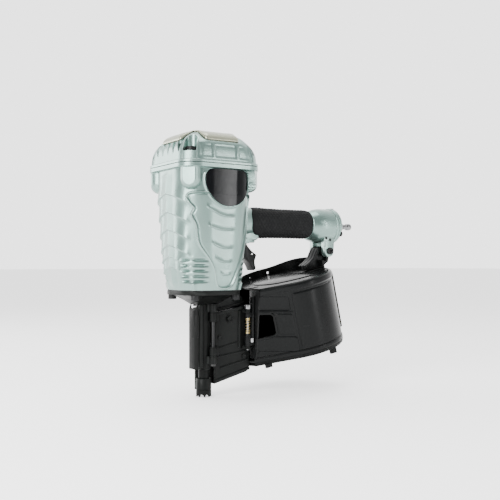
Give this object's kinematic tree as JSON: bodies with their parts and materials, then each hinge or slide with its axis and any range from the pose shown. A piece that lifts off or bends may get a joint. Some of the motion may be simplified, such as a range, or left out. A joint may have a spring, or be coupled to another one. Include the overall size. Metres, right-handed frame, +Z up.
{
  "type": "pneumatic coil nail gun",
  "caption": "Air-driven coil nail gun with a tapered metal body, rubber grip, side trigger, hinged feed door and round tilted magazine.",
  "frame": {"origin": "centre of the lowest face of the part's box, level with the tip of the contact foot", "axes": "+Z up along the driving axis, away from the work; +X along the handle, from the body to the air plug; -Y the side with the badge and the feed door"},
  "size_m": [0.311, 0.129, 0.3472],
  "materials": {
    "silver_paint": "fine metallic paint, satin, pale green-silver",
    "top_plate": "satin anodised, warm grey",
    "steel": "machined",
    "dark_steel": "black oxide",
    "black_cast": "black, satin, over a casting",
    "black_plastic": "moulded, gloss",
    "shield_plastic": "moulded, fine grain",
    "grip_rubber": "moulded, ribbed",
    "seal_rubber": "matt",
    "badge": "gloss, plain",
    "brass": "plain"
  },
  "bodies": {
    "tool_body": {"housing": "silver_paint", "cap": "silver_paint", "cap_gasket": "seal_rubber", "exhaust_cover": "top_plate", "exhaust_screw": "dark_steel", "badge": "badge", "cylinder_sleeve": "steel", "bumper": "seal_rubber", "head_valve_spring": "steel", "grip": "grip_rubber", "tail_cap": "silver_paint", "air_plug": "steel", "arm_bolt": "dark_steel", "arm_nut": "dark_steel", "trigger_pin": "steel", "trigger_valve": "brass", "nose": "black_cast", "nose_gasket": "seal_rubber", "nose_shield": "shield_plastic", "contact_spring": "steel", "feed_guide": "black_cast", "door_pin": "steel", "feeder_housing": "black_cast", "feeder_cap": "steel", "feed_spring": "steel", "canister": "black_plastic", "cover_pin": "steel", "bottom_shield": "shield_plastic", "platform_post": "steel", "cap_bolt_1": "dark_steel", "cap_bolt_2": "dark_steel", "cap_bolt_3": "dark_steel", "cap_bolt_4": "dark_steel", "nose_bolt_1": "dark_steel", "nose_bolt_2": "dark_steel", "nose_bolt_3": "dark_steel", "nose_bolt_4": "dark_steel", "tail_bolt_1": "dark_steel", "tail_bolt_2": "dark_steel", "tail_bolt_3": "dark_steel"},
    "piston": {"piston": "steel", "piston_ring": "seal_rubber", "driver_blade": "steel"},
    "head_valve": {"head_valve": "steel"},
    "trigger": {"trigger": "black_plastic", "lever_pin": "steel"},
    "trigger_lever": {"trigger_lever": "steel"},
    "valve_plunger": {"valve_plunger": "steel"},
    "contact_arm": {"contact_foot": "dark_steel", "contact_link": "dark_steel", "dial_stud": "steel"},
    "depth_dial": {"depth_dial": "black_plastic"},
    "door": {"door": "black_cast", "latch_pin": "steel", "latch_spring": "brass"},
    "latch": {"latch": "black_plastic"},
    "magazine_cover": {"magazine_cover": "black_plastic"},
    "nail_platform": {"nail_platform": "dark_steel"},
    "feed_piston": {"feed_piston": "steel"},
    "feed_pawl": {"feed_pawl": "steel"}
  },
  "joints": [
    {"name": "piston_stroke", "type": "slide", "parent": "tool_body", "child": "piston", "axis": [0, 0, -1], "range_m": [0, 0.108]},
    {"name": "head_valve_lift", "type": "slide", "parent": "tool_body", "child": "head_valve", "axis": [0, 0, 1], "range_m": [0, 0.006], "stiffness_N_per_m": 1500, "deforming": ["head_valve_spring"]},
    {"name": "trigger_pull", "type": "hinge", "parent": "tool_body", "child": "trigger", "pos_m": [-0.0405, 0, 0.209], "axis": [0, -1, 0], "range_deg": [0, 12], "stiffness_Nm_per_rad": 0.3, "springref_deg": -20.05},
    {"name": "lever_tilt", "type": "hinge", "parent": "trigger", "child": "trigger_lever", "pos_m": [-0.0265, 0, 0.1878], "axis": [0, 1, 0], "range_deg": [0, 25]},
    {"name": "plunger_lift", "type": "slide", "parent": "tool_body", "child": "valve_plunger", "axis": [0, 0, 1], "range_m": [0, 0.003]},
    {"name": "contact_slide", "type": "slide", "parent": "tool_body", "child": "contact_arm", "axis": [0, 0, 1], "range_m": [0, 0.01], "stiffness_N_per_m": 900, "springref_m": -0.012, "deforming": ["contact_spring"]},
    {"name": "dial_turn", "type": "hinge", "parent": "contact_arm", "child": "depth_dial", "pos_m": [-0.0965, 0.0227, 0.09], "axis": [0, 0, 1], "range_deg": [-170, 170]},
    {"name": "door_swing", "type": "hinge", "parent": "tool_body", "child": "door", "pos_m": [-0.0925, -0.0145, 0.08], "axis": [0, 0, -1], "range_deg": [0, 120]},
    {"name": "latch_turn", "type": "hinge", "parent": "door", "child": "latch", "pos_m": [-0.04, -0.0165, 0.086], "axis": [0, 0, -1], "range_deg": [0, 50], "stiffness_Nm_per_rad": 0.05, "springref_deg": -28.65, "deforming": ["latch_spring"]},
    {"name": "cover_swing", "type": "hinge", "parent": "tool_body", "child": "magazine_cover", "pos_m": [0.11226, -0.015, 0.1203], "axis": [-0.225, 0, 0.9744], "range_deg": [0, 95]},
    {"name": "platform_slide", "type": "slide", "parent": "tool_body", "child": "nail_platform", "axis": [-0.225, 0, 0.9744], "range_m": [-0.004, 0.035]},
    {"name": "feed_stroke", "type": "slide", "parent": "tool_body", "child": "feed_piston", "axis": [1, 0, 0], "range_m": [0, 0.007], "stiffness_N_per_m": 1200, "springref_m": -0.004, "deforming": ["feed_spring"]},
    {"name": "pawl_swing", "type": "hinge", "parent": "feed_piston", "child": "feed_pawl", "pos_m": [-0.0675, 0.0205, 0.068], "axis": [0, 0, -1], "range_deg": [0, 15], "stiffness_Nm_per_rad": 0.01, "springref_deg": -22.92}
  ],
  "couplings": [
    {"joint": "lever_tilt", "follows": "contact_slide", "rad_per_m": 42.4},
    {"joint": "trigger_pull", "follows": "plunger_lift", "rad_per_m": 69.8}
  ]
}
